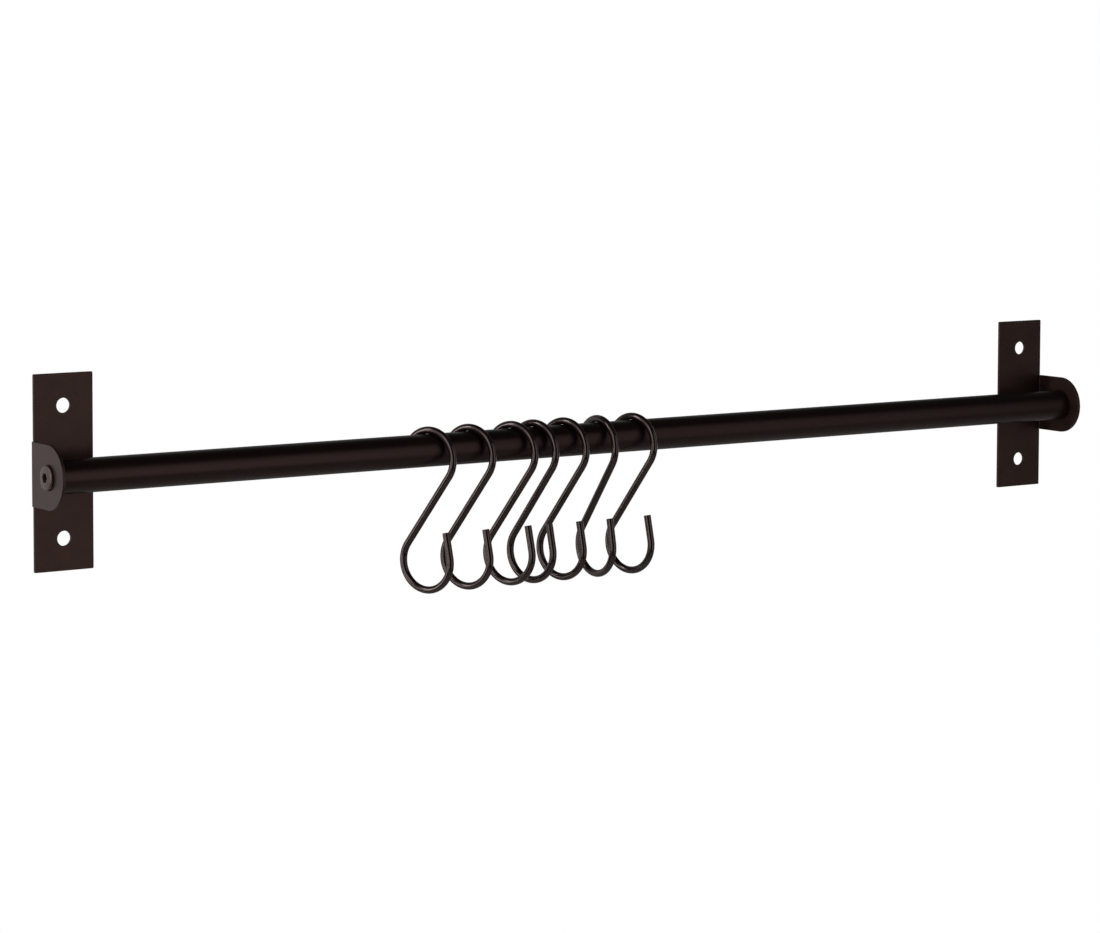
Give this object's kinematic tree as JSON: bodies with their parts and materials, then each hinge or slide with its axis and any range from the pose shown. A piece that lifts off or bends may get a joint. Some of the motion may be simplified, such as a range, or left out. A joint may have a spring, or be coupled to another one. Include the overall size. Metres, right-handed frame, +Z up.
{
  "type": "hanging rail",
  "caption": "Wall-mounted round steel rail held between two folded sheet brackets, with loose S-hooks hung on it for utensils, pans or cloths.",
  "frame": {"origin": "on the wall's face, at the centre of the four wall-screw holes and level with the rail's axis", "axes": "+X along the rail, to the right as seen from the room; +Y into the wall; +Z up"},
  "size_m": [0.6208, 0.0338, 0.1161],
  "materials": {
    "bracket_coat": "satin dark brown-black powder coat",
    "rail_coat": "satin dark brown-black powder coat",
    "hook_coat": "satin dark brown-black powder coat",
    "screw_coat": "dark brown coating, slightly glossier than the brackets",
    "plug_steel": "plain turned steel"
  },
  "bodies": {
    "root": {"left_wall_bracket": "bracket_coat", "right_wall_bracket": "bracket_coat", "rail_tube": "rail_coat", "left_end_plug": "plug_steel", "right_end_plug": "plug_steel", "left_rail_screw": "screw_coat", "right_rail_screw": "screw_coat", "s_hook_1": "hook_coat", "s_hook_2": "hook_coat", "s_hook_3": "hook_coat", "s_hook_4": "hook_coat", "s_hook_5": "hook_coat", "s_hook_6": "hook_coat", "s_hook_7": "hook_coat"}
  },
  "joints": []
}
